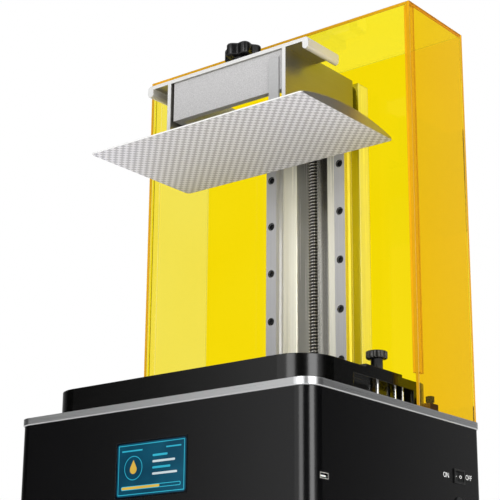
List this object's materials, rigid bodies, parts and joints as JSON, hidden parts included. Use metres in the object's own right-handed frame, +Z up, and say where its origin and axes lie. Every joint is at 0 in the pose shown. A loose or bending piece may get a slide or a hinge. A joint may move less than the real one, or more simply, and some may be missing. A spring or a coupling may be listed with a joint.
{
  "type": "resin printer",
  "caption": "Desktop resin 3D printer with a black base, silver top plate, resin vat, amber acrylic rear cover, twin-rail Z axis and a wide hanging build platform.",
  "frame": {"origin": "on the floor under the middle of the base", "axes": "+Z up, +X to the right seen from the front, the front faces -Y"},
  "size_m": [0.4, 0.317, 0.602],
  "materials": {
    "housing_paint": "satin black powder coat",
    "silver_plate": "satin anodised",
    "cast_aluminium": "bead blasted",
    "extruded_aluminium": "brushed",
    "black_anodised": "black anodised",
    "rail_steel": "ground",
    "dark_steel": "black oxide",
    "bright_steel": "bright",
    "black_plastic": "moulded",
    "amber_acrylic": "polished",
    "clear_film": "clear",
    "display_glass": "polished",
    "circuit_board": "solder mask",
    "foot_rubber": "matt"
  },
  "bodies": {
    "base": {"rubber_feet": "foot_rubber", "bottom_pan": "housing_paint", "base_housing": "housing_paint", "steel_standoffs": "bright_steel", "top_plate": "silver_plate", "lcd_glass": "display_glass", "lcd_panel": "display_glass", "light_shroud": "cast_aluminium", "led_board": "circuit_board", "heat_sink": "extruded_aluminium", "mainboard": "circuit_board", "touch_glass": "display_glass", "touch_module": "black_plastic", "usb_shell": "bright_steel", "usb_tongue": "black_plastic", "usb_board": "circuit_board", "switch_housing": "black_plastic", "dc_inlet": "black_plastic", "vat_frame": "black_anodised", "vat_film": "clear_film", "film_clamp_ring": "black_anodised", "film_screws": "dark_steel", "vat_locating_pins": "bright_steel", "hood_back": "amber_acrylic", "hood_left": "amber_acrylic", "hood_right": "amber_acrylic", "hood_top": "amber_acrylic", "hood_stop_strips": "amber_acrylic", "hood_brackets": "black_plastic", "z_column": "extruded_aluminium", "column_screws": "dark_steel", "rail_left": "rail_steel", "rail_right": "rail_steel", "rail_bolts": "dark_steel", "stepper_motor": "dark_steel", "top_bearing": "black_anodised", "fan_frame_left": "black_plastic", "fan_frame_right": "black_plastic"},
    "build_head": {"screw_nut": "rail_steel", "nut_bracket": "black_anodised", "rail_carriage_left": "rail_steel", "rail_carriage_right": "rail_steel", "carriage_plate": "black_anodised", "carriage_screws": "dark_steel", "arm_block": "cast_aluminium", "arm_screws": "dark_steel", "platform_hanger": "extruded_aluminium", "platform_lock_bar": "rail_steel", "build_platform": "extruded_aluminium"},
    "drive_screw": {"motor_shaft": "bright_steel", "shaft_coupler": "extruded_aluminium", "ball_screw": "rail_steel"},
    "clamp_knob": {"platform_knob": "black_plastic"},
    "vat_screw_left": {"vat_thumbscrew_left": "black_plastic"},
    "vat_screw_right": {"vat_thumbscrew_right": "black_plastic"},
    "cover_screw_left": {"hood_screw_left": "black_plastic"},
    "cover_screw_right": {"hood_screw_right": "black_plastic"},
    "rocker": {"power_rocker": "black_plastic"},
    "fan_left": {"fan_rotor_left": "black_plastic"},
    "fan_right": {"fan_rotor_right": "black_plastic"}
  },
  "joints": [
    {"name": "z_travel", "type": "slide", "parent": "base", "child": "build_head", "axis": [0, 0, 1], "range_m": [-0.312, 0]},
    {"name": "screw_spin", "type": "hinge", "parent": "base", "child": "drive_screw", "pos_m": [0, 0.1235, 0.3], "axis": [0, 0, 1], "range_deg": [0, 28100]},
    {"name": "clamp_knob_turn", "type": "hinge", "parent": "build_head", "child": "clamp_knob", "pos_m": [0, -0.016, 0.57], "axis": [0, 0, 1], "range_deg": [0, 720]},
    {"name": "vat_screw_left_turn", "type": "hinge", "parent": "base", "child": "vat_screw_left", "pos_m": [-0.171, -0.002, 0.18], "axis": [0, 0, 1], "range_deg": [0, 1080]},
    {"name": "cover_screw_left_turn", "type": "hinge", "parent": "base", "child": "cover_screw_left", "pos_m": [-0.1865, 0.072, 0.15], "axis": [0, 0, 1], "range_deg": [0, 720]},
    {"name": "fan_left_spin", "type": "hinge", "parent": "base", "child": "fan_left", "pos_m": [-0.095, 0.142, 0.068], "axis": [0, 1, 0], "continuous": true},
    {"name": "vat_screw_right_turn", "type": "hinge", "parent": "base", "child": "vat_screw_right", "pos_m": [0.171, -0.002, 0.18], "axis": [0, 0, 1], "range_deg": [0, 1080]},
    {"name": "cover_screw_right_turn", "type": "hinge", "parent": "base", "child": "cover_screw_right", "pos_m": [0.1865, 0.072, 0.15], "axis": [0, 0, 1], "range_deg": [0, 720]},
    {"name": "fan_right_spin", "type": "hinge", "parent": "base", "child": "fan_right", "pos_m": [0.095, 0.142, 0.068], "axis": [0, 1, 0], "continuous": true},
    {"name": "rocker_tilt", "type": "hinge", "parent": "base", "child": "rocker", "pos_m": [0.1945, 0.11, 0.07], "axis": [0, 0, 1], "range_deg": [0, 16]}
  ],
  "couplings": [
    {"joint": "screw_spin", "follows": "z_travel", "rad_per_m": -1570.8}
  ]
}
